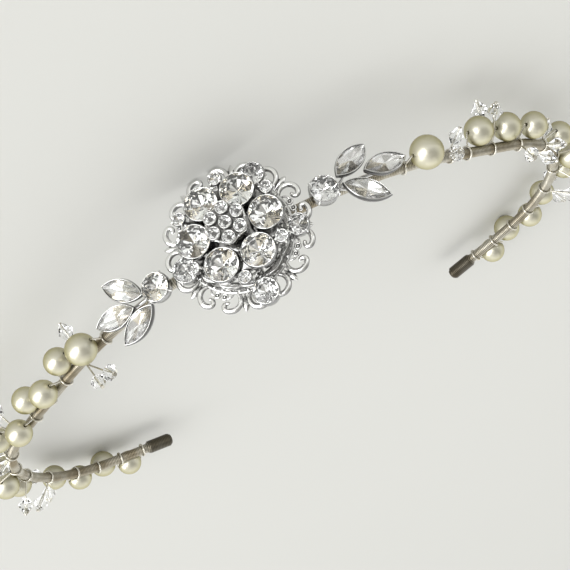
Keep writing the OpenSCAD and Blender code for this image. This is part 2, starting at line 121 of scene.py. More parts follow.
def band_middle(s):
    """Centre line of the band at s, from the same two arcs and two straight runs."""
    u, t = np.abs(s), band_turn(s)
    a, e = np.radians([crown_angle, crown_angle + shoulder_angle])
    run = np.clip(u - crown_len, 0, side_run)
    end = np.maximum(u - half_len + tip_run, 0)
    early, late = np.minimum(t, a), np.maximum(t, a)
    x = crown_r * np.sin(early) + run * np.cos(a) + shoulder_r * (np.sin(late) - np.sin(a))
    y = crown_r * (1 - np.cos(early)) + run * np.sin(a) + shoulder_r * (np.cos(a) - np.cos(late))
    return np.stack([np.sign(s) * (x + end * np.cos(e)), y + end * np.sin(e), 0 * u], -1)


def beside(s, y, z):
    """Point beside the band at s, y up and z outwards, before the pose."""
    s, y, z = np.broadcast_arrays(*(np.asarray(v, float) for v in (s, y, z)))
    t, side = band_turn(s), np.where(s < 0, -1, 1)
    return band_middle(s) + np.stack([side * z * np.sin(t), -z * np.cos(t), y], -1)


def on_band(s):
    """Frame at s with +X along the band, +Y up and +Z outwards, into the lying pose: turned up
    about X, round Z by the band's turn, and moved to its centre line."""
    side = -1 if s < 0 else 1
    def place(points):
        spun = turned(turned(points, x=90), z=side * np.degrees(band_turn(s)))
        return lying(spun + band_middle(np.float64(s)))
    return place


def spun_to(place, x=0.0, y=0.0, z=0.0, turn=0.0):
    """A frame moved to x, y, z inside another one and turned about its own +Z."""
    return lambda points: place(turned(points, z=turn) + [x, y, z])


def spot(r, turn, z=0.0):
    """Points at a distance from a middle, a turn and a height: (r cos a, r sin a, z)."""
    a = np.radians(turn)
    return np.stack(np.broadcast_arrays(r * np.cos(a), r * np.sin(a), z), -1)


# ---------------------------------------------------------------- surfaces
class Form:
    """Collects closed surfaces into one mesh, with a material slot and a tone for each face."""

    def __init__(self):
        self.points, self.faces, self.facts, self.count = [], [], [], 0

    def add(self, points, faces, smooth=True, tone=1.0, slot=0):
        """Adds groups of faces, given as rows of indices, with one flag and one or more tones for
        each group, and turns them all round if they enclose less than nothing."""
        points = np.asarray(points, float).reshape(-1, 3)
        local = points - points.mean(0)
        volume = 0.0
        for rows in faces:
            corner = local[rows]
            for k in range(1, rows.shape[1] - 1):
                normal = np.cross(corner[:, k], corner[:, k + 1])
                volume += np.einsum("ij,ij->", corner[:, 0], normal)
        tones = tone if isinstance(tone, list) else [tone] * len(faces)
        slots = slot if isinstance(slot, list) else [slot] * len(faces)
        flags = np.broadcast_to(smooth, len(faces))
        for rows, flag, shade, kind in zip(faces, flags, tones, slots):
            rows = rows[:, ::-1] if volume < 0 else rows
            self.faces += (rows + self.count).tolist()
            self.facts += [(bool(flag), kind, float(v)) for v in np.broadcast_to(shade, len(rows))]
        self.points.append(points)
        self.count += len(points)

    def skin(self, rows, ring=False, tone=1.0):
        """Surface over a grid: rows[i, j] runs round a section with j and along the piece with i.
        A flat face closes each end, unless the rows form a ring. The tone may differ along i and
        j."""
        rows = np.asarray(rows, float)
        m, n = rows.shape[:2]
        index = np.arange(m * n).reshape(m, n)
        beyond = np.roll(index, -1, 1)
        if ring:
            quads = np.stack([index, beyond, np.roll(beyond, -1, 0), np.roll(index, -1, 0)], -1)
            faces = [quads.reshape(-1, 4)]
        else:
            quads = np.stack([index[:-1], beyond[:-1], beyond[1:], index[1:]], -1)
            faces = [quads.reshape(-1, 4), index[:1, ::-1], index[-1:]]
        shades = np.broadcast_to(tone, (m if ring else m - 1, n)).reshape(-1)
        groups = len(faces)
        self.add(rows, faces, [True, False, False][:groups],
                 [shades, shades[:1], shades[-1:]][:groups])

    def finish(self, name, materials, slot_name, replaced):
        """Makes the object, in metres, hangs it on the root body and hides the CAD nodes it
        replaces.
        """
        mesh = bpy.data.meshes.new(name)
        mesh.from_pydata((np.concatenate(self.points) * MM).tolist(), [], self.faces)
        flags, slots, tones = (np.array(v) for v in zip(*self.facts))
        mesh.polygons.foreach_set("use_smooth", flags)
        mesh.polygons.foreach_set("material_index", slots.astype(np.int32))
        tone = mesh.attributes.new("tone", "FLOAT", "FACE")
        tone.data.foreach_set("value", tones.astype(np.float32))
        for material in materials:
            mesh.materials.append(material)
        mesh.update()
        piece = bpy.data.objects.new(name, mesh)
        bpy.context.collection.objects.link(piece)
        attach(piece, "root")
        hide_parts(*replaced)


def circle(n):
    """Cosine and sine of n equal steps round a circle."""
    a = np.arange(n) * 2 * np.pi / n
    return np.cos(a), np.sin(a)


def hoop(n, r, at):
    """Ring of n points round a place: at + r (cos a, sin a, 0)."""
    return np.stack([*circle(n), np.zeros(n)], -1) * r + at


def lathe(profile, n):
    """Radius and height pairs turned about +Z: x = r cos a, y = r sin a, z = h."""
    r, h = np.asarray(profile, float).T
    c, s = circle(n)
    return np.stack([r[:, None] * c, r[:, None] * s, np.repeat(h[:, None], n, 1)], -1)


def tube(path, radius, n=8, up=None, flat=1.0, ring=False):
    """Round section carried along a path: centre + r (cos a side + flat sin a up). Unless the path
    is a ring, the last sections shrink to a rounded tip."""
    path = np.asarray(path, float)
    radius = np.broadcast_to(np.asarray(radius, float), len(path))
    if ring:
        along = np.roll(path, -1, 0) - np.roll(path, 1, 0)
    else:
        along = np.gradient(path, axis=0)
        d0, d1 = (v / np.linalg.norm(v) for v in (path[0] - path[1], path[-1] - path[-2]))
        r0, r1 = radius[0], radius[-1]
        far, near, small, wide = 0.75, 0.5, 0.35, 0.78
        path = np.concatenate([[path[0] + d0 * r0 * far, path[0] + d0 * r0 * near], path,
                               [path[-1] + d1 * r1 * near, path[-1] + d1 * r1 * far]])
        radius = np.concatenate([[r0 * small, r0 * wide], radius, [r1 * wide, r1 * small]])
        along = np.concatenate([along[:1], along[:1], along, along[-1:], along[-1:]])
    along = along / np.linalg.norm(along, axis=1)[:, None]
    if up is None:
        up = np.array([0.31, 0.17, 0.93])
        if abs(along[0] @ up) >= 0.9:
            up = np.array([1.0, 0, 0])
    side = np.cross(along, up)
    side /= np.linalg.norm(side, axis=1)[:, None]
    lift = np.cross(side, along)
    c, s = circle(n)
    section = c[:, None] * side[:, None] + flat * s[:, None] * lift[:, None]
    return path[:, None] + radius[:, None, None] * section


def at_height(xy, z):
    """Flat points lifted to one height."""
    return np.concatenate([xy, np.full((len(xy), 1), z)], 1)


def ball(r):
    """Small ball: radius r sin a and height r cos a, from just beside one pole to the other."""
    a = np.radians(np.linspace(8, 172, 5))
    return lathe(np.stack([r * np.sin(a), r * np.cos(a)], -1), 8)


def cup_h(d):
    """Height of a cup that holds a round stone."""
    return rim_drop + 0.3 * d + 0.1 + cup_floor


def cup_profile(d, h, lip, taper):
    """Section of a turned cup round a stone of width d: from its floor up the bore, over the thin
    turned-in lip and down the outside to the narrower foot."""
    ri, ro = d / 2 + stone_gap, d / 2 + stone_gap + cup_wall
    return [[0.08, -h + cup_floor], [ri * 0.9, -h + cup_floor], [ri, -h + cup_floor + 0.15],
            [ri, -0.08], [ri - 0.09, lip * 0.7], [ri - 0.07, lip], [ri + 0.02, lip],
            [ri + 0.09, lip * 0.5], [ri + 0.15, -0.1], [ro - 0.01, -0.3], [ro - 0.05, -0.5],
            [ro * taper, -h + 0.15], [ro * taper - 0.1, -h], [0.08, -h]]


def painted_cup_shading(side):
    """Tone of each step of a cup's section, painted light: a painted highlight on the lip, painted
    shade inside and down the side.
    """
    inside, lip, foot = [0.3, 0.3, 0.4, 0.6], [0.9, 0.95, 0.4], [side + 0.1, 0.6, 0.7]
    return np.array([*inside, *lip, side, side, side, *foot])[:, None]


def painted_tube_shading(n, top, side):
    """Tones round a tube's section: a painted highlight on its top, painted shade at both sides
    and plain below.
    """
    height = np.sin((np.arange(n) + 0.5) * 2 * np.pi / n)
    upper = side + (top - side) * np.clip((height - 0.45) / 0.3, 0, 1)
    return np.where(height < -0.6, 0.7, upper)


# ---------------------------------------------------------------- materials
def set_stops(ramp, stops):
    """Fills a colour ramp with pairs of a place and a colour."""
    while len(ramp.elements) < len(stops):
        ramp.elements.new(0.5)
    for element, (at, colour) in zip(ramp.elements, stops):
        element.position, element.color = at, (*colour, 1)


class Value:
    """A number that changes over a surface; arithmetic on it adds Math nodes."""

    def __init__(self, finish, socket):
        self.finish, self.socket = finish, socket

    def math(self, operation, other):
        """This number and another value or plain number through one Math node."""
        return self.finish.node("ShaderNodeMath", {"operation": operation}, {0: self, 1: other})

    def __add__(self, other): return self.math("ADD", other)
    def __mul__(self, other): return self.math("MULTIPLY", other)
    __radd__, __rmul__ = __add__, __mul__

    def between(self, low, high):
        """0 below low, 1 above high and a straight slope between them."""
        return self.finish.node("ShaderNodeMapRange", {"clamp": True},
                                {"Value": self, "From Min": low, "From Max": high})


class Finish:
    """A material with one Principled shader; constants are set on the shader's own sockets."""

    def __init__(self, name, **constants):
        self.material = bpy.data.materials.new(name)
        self.material.use_nodes = True
        self.tree = self.material.node_tree
        self.shader = self.tree.nodes["Principled BSDF"]
        self.feed(**constants)

    def set(self, node, sockets):
        """Gives a node's sockets, named in any case or numbered, their values or links."""
        names = {s.name.lower(): s for s in node.inputs if s.enabled}
        for key, value in sockets.items():
            socket = node.inputs[key] if isinstance(key, int) else names[key.lower()]
            value = value.socket if isinstance(value, Value) else value
            if isinstance(value, bpy.types.NodeSocket):
                self.tree.links.new(value, socket)
            else:
                socket.default_value = (*value, 1) if socket.type == "RGBA" else value

    def node(self, kind, settings=(), sockets=(), out=0):
        """Any other node: its settings first, then the values or links of its sockets."""
        made = self.tree.nodes.new(kind)
        for key, value in dict(settings).items():
            if key == "stops":
                set_stops(made.color_ramp, value)
            else:
                setattr(made, key, value)
        self.set(made, dict(sockets))
        enabled = [s for s in made.outputs if s.enabled]
        socket = enabled[out] if isinstance(out, int) else made.outputs[out]
        return Value(self, socket) if socket.type == "VALUE" else socket

    def noise(self, scale, detail):
        """Soft noise over the piece's own coordinates, with a scale in cells per metre."""
        place = self.node("ShaderNodeTexCoord", out="Object")
        return self.node("ShaderNodeTexNoise", {},
                         {"Vector": place, "Scale": scale, "Detail": detail})

    def tone(self):
        """The tone of each face, from the mesh: painted light and shade on the metal, painted
        valley shade and dark tips on the wound wire, and the tints of the foil facets.
        """
        return self.node("ShaderNodeAttribute", {"attribute_name": "tone"}, out="Fac")

    def mix(self, factor, a, b):
        """Colour mixed from a to b by the factor."""
        made = self.tree.nodes.new("ShaderNodeMix")
        made.data_type = "RGBA"
        self.set(made, {0: factor, 6: a, 7: b})
        return made.outputs[2]

    def bump(self, height, distance, strength):
        """Normal of a surface raised by the height times a distance in metres."""
        return self.node("ShaderNodeBump", {}, {"Height": height, "Distance": distance,
                                                "Strength": strength})

    def feed(self, **sockets):
        """Sets or links the shader's sockets, and returns the material."""
        self.set(self.shader, {k.replace("_", " "): v for k, v in sockets.items()})
        return self.material


def silver_finish():
    """Plated metal: faint clouds in its gloss, fine polish waves, and painted shade, down to near
    black, where the tone is low.
    """
    bright, dull, shade = (0.985, 0.985, 0.98), (0.86, 0.855, 0.84), (0.012, 0.011, 0.010)
    f = Finish("bright silver", metallic=1.0, ior=1.5)
    clouds = f.noise(420, 3)
    colour = f.mix(f.tone(), shade, f.mix(clouds.between(0.35, 0.7), dull, bright))
    return f.feed(base_color=colour, roughness=clouds.between(0.3, 0.75) * 0.10 + 0.07,
                  normal=f.bump(f.noise(2600, 2), 0.00003, 0.5))


def stone_finish(name, soft, mirror):
    """Clear cut glass over foil facets in grey, champagne and white, more or less mirrored."""
    cool, warm = (0.97, 0.975, 0.985), (1.0, 0.995, 0.985)
    glass = Finish(f"{name} glass", ior=1.56, roughness=0.0, transmission_weight=1.0)
    foil = Finish(f"{name} foil", metallic=mirror)
    facets = [(0.0, (0.30, 0.28, 0.25)), (0.3, (0.76, 0.71, 0.60)),
              (0.6, (0.90, 0.92, 0.91)), (1.0, (1.0, 1.0, 1.0))]
    tint = foil.node("ShaderNodeValToRGB", {"stops": facets}, {"Fac": foil.tone()})
    return [glass.feed(base_color=glass.mix(glass.noise(90, 1), cool, warm)),
            foil.feed(base_color=tint, roughness=foil.noise(500, 1) * 0.04 + soft)]


def pearl_finish():
    """Glass pearl: a cream body, darker and warmer towards its edge and in faint clouds, under a
    lacquer with a soft sheen."""
    cream, rim, cloud = (0.57, 0.55, 0.45), (0.31, 0.275, 0.07), (0.66, 0.61, 0.46)
    f = Finish("pearl lacquer", ior=1.6, metallic=0.75, coat_weight=1.0, coat_roughness=0.25,
               coat_ior=1.85, specular_tint=(0.62, 0.58, 0.40))
    clouds = f.noise(260, 3)
    edge = f.node("ShaderNodeLayerWeight", {}, {"Blend": 0.42}, out="Facing")
    body = f.mix(edge.between(0.05, 0.6), cream, rim)
    body = f.mix(clouds.between(0.35, 0.75) * 0.25, body, cloud)
    return f.feed(base_color=body, roughness=clouds.between(0.2, 0.8) * 0.05 + 0.34,
                  normal=f.bump(f.noise(1800, 2), 0.00002, 0.4))


def crystal_finish():
    """Clear glass whose tint drifts between a cool and a warm white."""
    f = Finish("clear crystal", ior=1.4, roughness=0.0, transmission_weight=1.0)
    return f.feed(base_color=f.mix(f.noise(120, 1), (0.97, 0.98, 1.0), (1.0, 1.0, 0.99)))


def wire_finish():
    """Thin drawn wire with a light draw grain."""
    f = Finish("drawn wire", metallic=1.0)
    grain = f.noise(1500, 3)
    return f.feed(base_color=f.mix(grain, (0.46, 0.43, 0.35), (0.78, 0.76, 0.70)),
                  roughness=grain * 0.12 + 0.14, normal=f.bump(grain, 0.00002, 0.4))


def winding_finish():
    """Tightly wound wire, darker and warmer in patches, near black at the tips and with painted
    shade in its valleys.
    """
    worn, bright, tip = (0.34, 0.29, 0.20), (0.66, 0.63, 0.54), (0.045, 0.04, 0.03)
    f = Finish("wound wire", metallic=1.0)
    patches, fine = f.noise(160, 4), f.noise(2200, 2)
    colour = f.mix(f.tone(), tip, f.mix(patches.between(0.38, 0.66), worn, bright))
    return f.feed(base_color=colour, roughness=fine * 0.16 + 0.3,
                  normal=f.bump(fine, 0.00003, 0.5))


silver, pearl, crystal = silver_finish(), pearl_finish(), crystal_finish()
wire, winding = wire_finish(), winding_finish()
stone, leaf_stone = stone_finish("chaton", 0.02, 0.88), stone_finish("leaf", 0.08, 0.75)


# ---------------------------------------------------------------- wound band
def wound_band():
    """Helical ridges round the band: sample k goes round by k / around of a turn, and across one
    turn of wire the radius swells as a half sine from valley to valley. Each turn shares its
    valley with the next one, and a flat face closes each end."""
    pitch, around, steps = 0.46, 14, 5
    valley, ridge, slope = 0.09, 0.14, 0.8
    tip_at, tip_tone, end_tone = half_len - tip_len, 0.18, 0.2
    turns = int(2 * (half_len - 0.1) / pitch)
    k = np.arange((turns + 1) * around)[:, None]
    c = np.arange(steps)[None, :]
    s = (k / around + c / steps - turns / 2) * pitch
    s = np.clip(s, -half_len + 0.05, half_len - 0.05)
    past = np.abs(s) - tip_at
    rise, fall = (past + slope) / slope, (half_len - np.abs(s)) / slope
    swell = np.clip(np.minimum(rise, fall), 0, 1) * (past > -slope)
    radius = band_d / 2 - valley + swell * (tip_d - band_d) / 2 + ridge * np.sin(np.pi * c / steps)
    a = 2 * np.pi * k / around
    points = lying(beside(s, radius * np.sin(a), radius * np.cos(a)))

    index = np.arange(k.size * steps).reshape(-1, steps)
    here, ahead = index[:-around - 1], index[1:-around]
    here_side = np.concatenate([here[:, 1:], index[around:-1, :1]], 1)
    ahead_side = np.concatenate([ahead[:, 1:], index[around + 1:, :1]], 1)
    quads = np.stack([here, ahead, ahead_side, here_side], -1).reshape(-1, 4)
    start = np.concatenate([index[0], index[around:0:-1, 0]])
    stop = np.concatenate([index[-around - 1:, 0], index[-around - 1, :0:-1]])
    # Painted shade in the valley between turns of wire, brightest on each ridge
    painted_valley_shade = [0.3, 0.85, 1, 0.85, 0.3]
    tones = np.interp(np.abs(s), [tip_at - 1.5, tip_at], [1, tip_tone]) * painted_valley_shade
    tones = tones[:-around - 1].reshape(-1)
    form = Form()
    form.add(points, [quads, start[None], stop[None]], [True, False, False],
             [tones, end_tone, end_tone])

    dome = lathe([[1.3, -0.35], [1.3, -0.1], [1.1, 0.0], [0.6, 0.06], [0.05, 0.08]], 24)
    for side in (1, -1):
        tip = on_band(side * (half_len - 0.01))
        form.skin(tip(turned(dome, y=90 * side)), tone=end_tone)
    form.finish("band_winding", [winding], "band", ["band"])


wound_band()


# ---------------------------------------------------------------- brooch
class Setting(Form):
    """The brooch's metal, given in the brooch's own frame with +Z out of its face."""

    def put(self, rows, **facts):
        """A surface over a grid, carried from the brooch's frame into the lying pose."""
        self.skin(on_brooch(rows), **facts)

    def grain(self, at, r, tone=1.0):
        """Small ball round a place."""
        self.put(ball(r) + at, tone=tone)

    def cup(self, at, top, d, lip, taper, n, side=0.25):
        """Turned cup for a stone of width d, with its rim at the height top; side is the tone of
        painted shade on its outer wall.
        """
        rows = lathe(cup_profile(d, cup_h(d), lip, taper), n)
        self.put(rows + at + [0, 0, top], tone=painted_cup_shading(side))

    def claw_set(self, at, top, d, start, r, rise):
        """Thin claws bent over a cup's lip, as rounded tubes through four points."""
        edge = d / 2 + stone_gap + cup_wall
        for j in range(claws):
            out = spot(1, start + j * 360 / claws)
            line = [out * (edge - 0.02) + [0, 0, -0.9], out * (edge + 0.05) + [0, 0, -0.2],
                    out * (edge - 0.04) + [0, 0, rise * 0.65], out * (edge - 0.38) + [0, 0, rise]]
            self.put(tube(np.array(line) + at + [0, 0, top], [r * 0.8, r, r, r * 0.85], 8))


def scroll_path():
    """Half a lobe: an arc about its own middle from the ring round to the front, then a tight
    curl inwards, whose circle touches the arc from inside."""
    curl_r = 0.78
    a = np.radians(np.linspace(150, -16, 20))
    arc = np.stack([scroll_x + scroll_r * np.cos(a), scroll_y + scroll_r * np.sin(a)], -1)
    inwards, e = scroll_r - curl_r, a[-1]
    middle = [scroll_x + inwards * np.cos(e), scroll_y + inwards * np.sin(e)]
    b = e + np.radians(np.linspace(-25, -165, 7))
    curl = np.stack([middle[0] + curl_r * np.cos(b), middle[1] + curl_r * np.sin(b)], -1)
    return at_height(np.concatenate([arc, curl]), base_t / 2)


def dart():
    """Pointed leaf between two lobes, from the ring at x = 0 to its tip at x = 1: its half width
    swells as sin(pi x^1.6) and its ridge as sin(pi x^1.4)."""
    x = np.linspace(0, 1, 11)
    root, tip = 12.8, 17.3
    half = 0.1 + 0.7 * np.sin(np.pi * x ** 1.6)
    ridge = 0.5 + 0.42 * np.sin(np.pi * x ** 1.4)
    section = [(-1, 0.15), (-1, 0.42), (0, ridge), (1, 0.42), (1, 0.15)]
    return np.stack([np.stack([root + (tip - root) * x, k * half, 0 * x + z], -1)
                     for k, z in section], 1)


def scroll(form, hand, turn):
    """One scroll on either hand of a lobe: the curled tube with a grain on its end, the eye inside
    it as a ring over a disc painted dark as shade, with a grain, and a short twig."""
    path = scroll_path() * [1, hand, 1]
    thick = np.interp(np.arange(len(path)), [0, 5, 14, 21, 26], [0.46, 0.60, 0.69, 0.6, 0.48])
    form.put(turned(tube(path, thick, 16, UP, 0.96), z=turn), tone=painted_tube_shading(16, 1.0, 0.1))
    form.grain(turned(path[-1] + [0, 0, 0.05], z=turn), 0.5)
    eye, eye_r, eye_wire = np.array([13.95, 0.88 * hand, 0.5]), 0.62, 0.24
    rim = tube(hoop(20, eye_r, eye), eye_wire, 8, UP, ring=True)
    form.put(turned(rim, z=turn), ring=True, tone=painted_tube_shading(8, 1.0, 0.35))
    # A disc painted near black, for the shade inside the eye
    disc = lathe([[0.05, -0.2], [0.6, -0.2], [0.6, 0.0], [0.05, 0.0]], 16)
    form.put(turned(disc + eye, z=turn), tone=0.12)
    form.grain(turned(eye + [0, 0, 0.1], z=turn), 0.27)
    twig = np.array([[12.9, 2.7, 0.5], [13.5, 2.5, 0.62], [14.05, 2.0, 0.6], [14.2, 1.55, 0.55]])
    rows = tube(twig * [1, hand, 1], [0.2, 0.26, 0.26, 0.22], 8, UP)
    form.put(turned(rows, z=turn), tone=painted_tube_shading(8, 0.95, 0.35))


def base(form):
    """Rounded ring, hub and spokes, with two scrolls and a dart for each lobe. The ring, hub and
    spokes are painted darker as shade under the tiers, and each dart has a painted highlight on
    one slope, less on the other, and painted shade on its sides.
    """
    ring = [[ring_inner, 0.2], [ring_inner + 0.2, 0], [ring_outer - 0.25, 0], [ring_outer, 0.25],
            [ring_outer, 0.6], [ring_outer - 0.2, 0.85], [ring_outer - 0.7, 0.6],
            [ring_inner + 0.9, 0.6], [ring_inner + 0.2, 0.8], [ring_inner, 0.6]]
    form.put(lathe(ring, 96), ring=True, tone=0.65)
    hub = [[0.1, 0], [hub_r - 0.2, 0], [hub_r, 0.2], [hub_r, base_t - 0.2], [hub_r - 0.2, base_t],
           [0.1, base_t]]
    form.put(lathe(hub, 64), tone=0.3)
    into = 0.4
    spoke = np.linspace([hub_r - into, 0, base_t / 2], [ring_inner + into, 0, base_t / 2], 4)
    dart_painted_shading = np.array([0.2, 1.0, 0.8, 0.2, 0.6])
    for turn in np.arange(lobes) * 360 / lobes:
        form.put(turned(tube(spoke, 0.5, 8, UP, 0.9), z=turn), tone=0.4)
        for hand in (1, -1):
            scroll(form, hand, turn)
        form.put(turned(dart(), z=turn + 180 / lobes), tone=dart_painted_shading)


def gallery(form):
    """Posts with crossing wires between them, grains and scallops round its foot, a wire at half
    height and the round plate. A scallop rises with the cosine of its turn, and every third grain
    round the foot is darker. The posts, the wire and the plate are painted darker as shade under
    the cups, and the grains and scallops a little darker as well."""
    step, plate_r, wire_r = 360 / posts, 10.4, 10.35
    wide, high, grains, grain_ring_r = 13.5, 1.15, 40, 12.55
    arch = np.linspace(-wide, wide, 9)
    rise = high * np.cos(np.radians(arch / wide * 90))
    for turn in np.arange(posts) * step + main_turn:
        next_to = turn + step / 2
        for lean, r in ((0, 0.36), (step / 2, 0.22), (-step / 2, 0.22)):
            foot = spot(gallery_foot_r, next_to - lean, 0.6)
            head = spot(gallery_head_r, next_to + lean, gallery_z + 0.4)
            form.put(tube(np.linspace(foot, head, 5), r, 8), tone=0.6)
        form.grain(spot(10.45, turn, 3.0), 0.46, 0.9)
        form.grain(spot(10.55, next_to, 2.3), 0.32, 0.85)
        scallop = spot(11.3 + 0.5 * rise, turn + arch, 0.75 + 0.35 * rise)
        form.put(tube(scallop, 0.19, 8), tone=0.8)
    for i in range(grains):
        form.grain(spot(grain_ring_r, i * 360 / grains, 0.85), 0.36, 0.95 if i % 3 else 0.5)
    form.put(tube(hoop(72, wire_r, [0, 0, 3.0]), 0.3, 8, UP, ring=True), ring=True, tone=0.6)
    top = gallery_z + gallery_t
    plate = [[0.1, gallery_z], [plate_r - 0.2, gallery_z], [plate_r, gallery_z + 0.2],
             [plate_r, top - 0.2], [plate_r - 0.2, top], [0.1, top]]
    form.put(lathe(plate, 72), tone=0.3)


def main_tier(form):
    """Six main cups, and between them six small ones on a stalk each, with claws and a row of
    grains towards the flower. The second small cup has no claws, because a rim stone is close."""
    for i in range(petals):
        form.cup(spot(main_ring_r, main_turn + i * fold), main_top, main_d, 0.32, 0.86, 60)
        turn = gap_turn + i * fold
        at = spot(gap_ring_r, turn)
        form.cup(at, gap_top, gap_d, 0.1, 0.85, 24)
        if i != 1:
            form.claw_set(at, gap_top, gap_d, turn + 45, 0.3, 0.42)
        # Painted shade: each stalk is dark under its small cup
        stalk = [spot(9.6, turn, 5.4), spot(11.2, turn, 5.9),
                 at + [0, 0, gap_top - cup_h(gap_d) + 0.1]]
        form.put(tube(stalk, 0.4, 8), tone=0.35)
        for r, size in ((5.3, 0.34), (6.1, 0.5), (7.2, 0.36)):
            form.grain(spot(r, turn, gallery_z + 1.0), size, 0.85)


def flower(form):
    """A post with a round foot, a plate whose edge waves once for each petal as the cosine of six
    times the turn, and seven cups with grains between them. The post and the plate's top and
    underside are painted dark as shade, with a painted highlight on the plate's outer edge."""
    floor_z, around = flower_top - cup_h(flower_d), 96
    post = [[1.0, gallery_z + 0.4], [1.3, gallery_z + 0.9], [1.1, 8.5], [1.5, floor_z - 0.6],
            [3.3, floor_z - 0.4], [3.6, floor_z - 0.2], [3.6, floor_z + 0.1], [0.6, floor_z + 0.2]]
    form.put(lathe(post, 32), tone=0.25)
    turn = np.arange(around) * 360 / around
    reach = 4.75 + 0.34 * np.cos(np.radians(petals * (turn - flower_turn)))
    edge = [(0.02, -1.0), (0.98, -1.0), (1.0, -0.85), (0.97, -0.7), (0.93, -0.75), (0.02, -0.75)]
    plate = np.stack([spot(share * reach, turn, flower_top + z) for share, z in edge])
    form.put(plate, tone=np.array([0.3, 0.3, 0.9, 0.5, 0.2])[:, None])
    places = [spot(flower_ring_r, flower_turn + i * fold) for i in range(petals)]
    for at in [*places, spot(0, 0)]:
        form.cup(at, flower_top, flower_d, 0.1, 0.8, 28, 0.5)
    for i in range(petals):
        form.grain(spot(4.55, flower_turn + (i + 0.5) * fold, flower_top - 0.15), 0.3, 0.8)


def rim_cups(form):
    """Four cups of their own widths on the rim, with claws."""
    for turn, r, d in rim_stones:
        form.cup(spot(r, turn), rim_top, d, 0.3, 0.92, 44)
        form.claw_set(spot(r, turn), rim_top, d, turn + 45, 0.2, 0.4)


setting = Setting()
for tier in (base, gallery, main_tier, flower, rim_cups):
    tier(setting)
setting.finish("brooch_metal", [silver], "silver", ["brooch_setting"])


# ---------------------------------------------------------------- cut stones
# Shares of the four tones of foil facets: grey, champagne, pale and white
PLAIN, WHITE, OLIVE = (0.08, 0.22, 0.25, 0.45), (0.01, 0.03, 0.06, 0.90), (0.05, 0.60, 0.20, 0.15)
FOIL_TONES = (0.05, 0.3, 0.6, 1.0)


def brilliant(outline, table, mid, crown, girdle, depth, culet, low):
    """Facets of a cut stone on an outline of 16 directions: table and mid are shares of the
    outline's reach, low is the share and depth of the lower break. Kites lie flat on a round
    stone."""
    reach = outline(22.5 + np.arange(16) * 22.5)
    even, odd = reach[::2], reach[1::2]
    share = (1 - mid * np.cos(np.radians(22.5))) / (1 - table)
    points = np.concatenate([at_height(even * table, girdle + crown),
                             at_height(odd * mid, girdle + crown * min(share, 0.9)),
                             at_height(reach, girdle), at_height(reach, 0),
                             at_height(odd * low[0], -depth * low[1]),
                             at_height(even * culet, -depth)])
    # Where the points of each level start: table, crown, girdle's top and foot, break and culet
    T, M, G, H, L, C = 0, 8, 16, 32, 48, 56
    k, j = np.arange(8), np.arange(16)
    before, after, beyond = (k - 1) % 8, (k + 1) % 8, (j + 1) % 16
    left, mid_way, right = 2 * k, 2 * k + 1, (2 * k + 2) % 16
    stars = np.stack([T + k, M + k, T + after], 1)
    kites = np.stack([T + k, M + before, G + left, M + k], 1)
    upper = [np.stack([M + k, G + left, G + mid_way], 1),
             np.stack([M + k, G + mid_way, G + right], 1)]
    belt = np.stack([G + j, H + j, H + beyond, G + beyond], 1)
    lower = [np.stack([L + k, H + mid_way, H + left], 1),
             np.stack([L + k, H + right, H + mid_way], 1)]
    mains = np.stack([C + k, L + k, H + left, L + before], 1)
    ends = np.stack([C + k, C + after, L + k], 1)
    glass = [T + k[None], stars, kites, *upper, belt]
    foil = [*lower, mains, ends, C + k[None, ::-1]]
    return points, glass, foil


def round_outline(d):
    """Circle of width d: (cos a, sin a) d / 2."""
    def outline(angle):
        a = np.radians(angle)
        return np.stack([np.cos(a), np.sin(a)], -1) * d / 2
    return outline


def navette_outline(length, width):
    """Two equal arcs that meet in points: y = sqrt(R^2 - x^2) - (R - w/2)."""
    arc = (length ** 2 + width ** 2) / (4 * width)
    def outline(angle):
        x = length / 2 * np.cos(np.radians(angle))
        y = np.sqrt(np.maximum(arc ** 2 - x ** 2, 0)) - (arc - width / 2)
        return np.stack([x, np.sign(np.sin(np.radians(angle))) * y], -1)
    return outline


def round_cut(d):
    """Round stone, all of whose heights grow with its width."""
    return brilliant(round_outline(d), table=0.56, mid=0.78, crown=0.15 * d, girdle=0.05 * d,
                     depth=0.3 * d, culet=0.04, low=(0.72, 0.42))


def navette_cut():
    """Pointed stone with the facets of a round one."""
    return brilliant(navette_outline(navette_l, navette_w), table=0.52, mid=0.76, crown=0.75,
                     girdle=0.22, depth=0.95, culet=0.05, low=(0.7, 0.4))


def add_stone(form, cut, place, seed, moods):
    """Puts one stone into a form: glass above the girdle and foil facets below it. Their tones are
    drawn from the four levels with the shares of the near mood, or of the far one past the stone's
    middle; a far mood whiter than the near one is a painted highlight on that half."""
    points, glass, foil = cut
    rng = np.random.default_rng(seed)
    below = np.array([len(rows) for rows in foil])
    far = np.concatenate([points[rows].mean(1)[:, 0] > 0 for rows in foil])
    near_tone, far_tone = (rng.choice(FOIL_TONES, sum(below), p=mood) for mood in moods)
    tones = np.where(far, far_tone, near_tone) + rng.normal(0, 0.05, sum(below))
    form.add(place(points), glass + foil, smooth=False,
             tone=[1.0] * len(glass) + np.split(np.clip(tones, 0, 1), np.cumsum(below)[:-1]),
             slot=[0] * len(glass) + [1] * len(foil))


def stone_piece(name, cuts, node, near=PLAIN, far=None, looks=stone):
    """One piece of one or more stones in place of a CAD node, each drawn with its own seed."""
    form = Form()
    for i, (cut, place) in enumerate(cuts):
        add_stone(form, cut, place, sum(map(ord, name)) * 7 + i, (near, far or near))
    form.finish(name, looks, "stone", [node])


def ring_places(r, top, turn, spin=0.0):
    """Frames of six stones round the brooch's middle, each turned outwards and spun further."""
    for b in turn + np.arange(petals) * fold:
        yield spun_to(on_brooch, *spot(r, b, top - rim_drop), b + spin)


